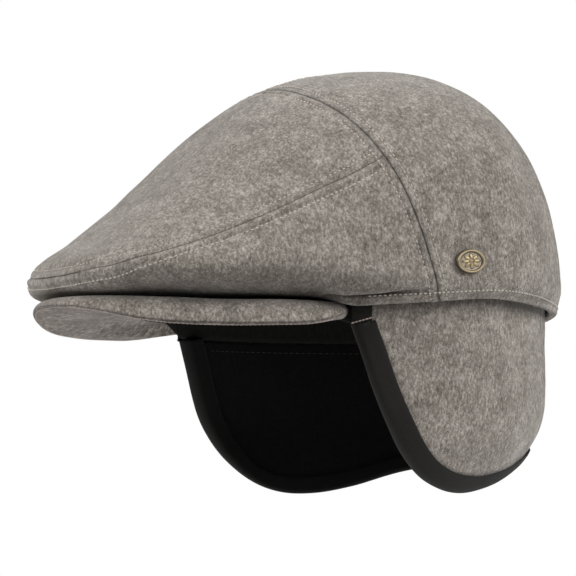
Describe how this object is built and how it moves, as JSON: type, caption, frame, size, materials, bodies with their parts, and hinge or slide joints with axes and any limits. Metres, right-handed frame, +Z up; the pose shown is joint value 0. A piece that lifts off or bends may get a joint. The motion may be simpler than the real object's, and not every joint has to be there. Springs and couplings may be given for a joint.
{
  "type": "flat cap with earflaps",
  "caption": "Grey wool flat cap with a low sloping crown, padded peak and black-taped earflaps that run round the nape, with a small oval brass badge.",
  "frame": {"origin": "centre of the head opening, level with the crown's lower edge at the nape", "axes": "+Z up the head, -Y towards the peak, +X towards the wearer's left ear"},
  "size_m": [0.1959, 0.253, 0.1957],
  "materials": {
    "wool": "matte melange wool",
    "under_wool": "matte warm grey wool",
    "tape": "matte black woven tape",
    "fleece": "black brushed fleece",
    "sweatband": "black ribbed cloth",
    "brass": "antique brass"
  },
  "bodies": {
    "root": {"crown_top_panel": "wool", "crown_side_panel": "wool", "crown_back_left": "wool", "crown_back_right": "wool", "peak_top_cover": "wool", "peak_under_cover": "under_wool", "sweatband": "sweatband", "earflap_wool": "wool", "earflap_fleece": "fleece", "edge_tape": "tape", "badge": "brass"}
  },
  "joints": []
}
